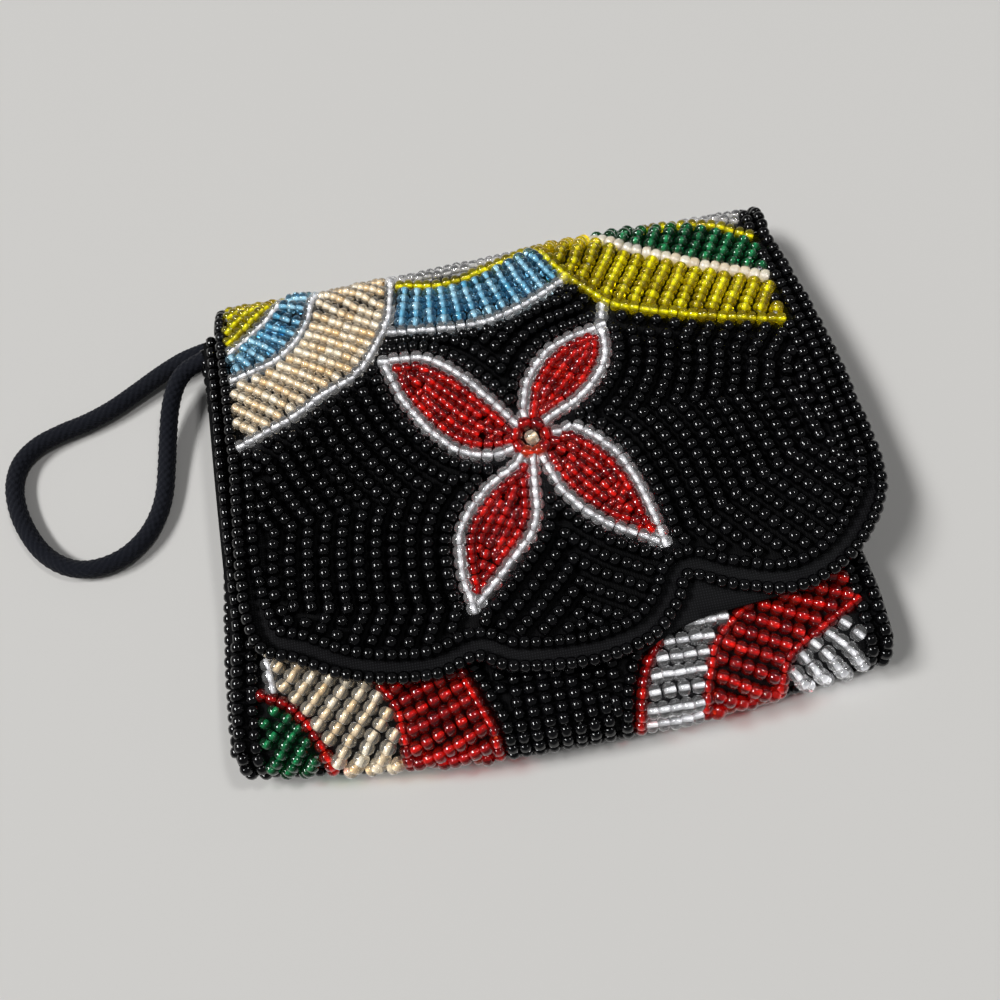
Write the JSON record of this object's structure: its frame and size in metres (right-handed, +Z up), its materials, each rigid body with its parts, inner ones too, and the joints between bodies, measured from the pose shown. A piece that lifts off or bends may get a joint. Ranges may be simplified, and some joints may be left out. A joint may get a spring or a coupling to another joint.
{
  "type": "beaded coin purse",
  "caption": "Small envelope coin purse of black cloth covered with sewn-on glass seed beads, with a scalloped flap, a flower and colour bands, and a wrist cord loop.",
  "frame": {"origin": "middle of the underside of the purse's box as it lies on its back, the cord loop left out", "axes": "+X along the width to the right as the flap is seen, +Y from the closed bottom to the top fold, +Z up out of the flap"},
  "size_m": [0.1514, 0.0916, 0.0153],
  "materials": {
    "outer_cloth": "plain-woven black cotton cloth, matt",
    "lining": "black satin lining",
    "steel": "nickel-plated press stud",
    "cord": "braided black-navy cord",
    "black_beads": "opaque black glass seed beads, glossy",
    "clear_beads": "clear silver-lined glass seed beads",
    "red_beads": "red glass seed beads, glossy",
    "orange_beads": "orange-red glass seed beads, glossy",
    "yellow_beads": "yellow silver-lined glass seed beads",
    "blue_beads": "blue silver-lined glass seed beads",
    "green_beads": "green glass seed beads, glossy",
    "cream_beads": "pale gold-lined glass seed beads",
    "pearl_beads": "pinkish pearl glass seed beads"
  },
  "bodies": {
    "root": {"back_black_field": "black_beads", "bottom_edge_beads": "black_beads", "clear_line_1": "clear_beads", "clear_line_2": "clear_beads", "clear_line_3": "clear_beads", "clear_line_4": "clear_beads", "corner_yellow_field": "yellow_beads", "cream_band": "cream_beads", "flap_black_field_1": "black_beads", "flap_black_field_2": "black_beads", "flap_black_field_3": "black_beads", "flap_black_field_4": "black_beads", "flap_edge_beads": "black_beads", "flower_eye": "cream_beads", "flower_ring": "orange_beads", "front_black_field_1": "black_beads", "front_black_field_2": "black_beads", "front_clear_corner": "clear_beads", "front_clear_field": "clear_beads", "front_cream_field": "cream_beads", "front_green_corner": "green_beads", "front_red_block_left": "red_beads", "front_red_block_right": "red_beads", "front_red_line_1": "red_beads", "front_red_line_2": "red_beads", "front_red_line_3": "red_beads", "front_red_line_4": "red_beads", "front_upper_field": "black_beads", "green_band": "green_beads", "left_blue_band": "blue_beads", "left_edge_beads": "black_beads", "outer_cloth": "outer_cloth", "pearl_line": "pearl_beads", "petal_ne": "red_beads", "petal_ne_outline": "clear_beads", "petal_nw": "red_beads", "petal_nw_outline": "clear_beads", "petal_se": "red_beads", "petal_se_outline": "clear_beads", "petal_sw": "red_beads", "petal_sw_outline": "clear_beads", "pocket_lining": "lining", "press_stud_ball": "steel", "press_stud_socket": "steel", "right_edge_beads": "black_beads", "top_blue_band": "blue_beads", "wrist_cord": "cord", "yellow_band": "yellow_beads", "yellow_line_border": "yellow_beads", "yellow_line_green": "yellow_beads", "yellow_line_top": "yellow_beads"}
  },
  "joints": []
}
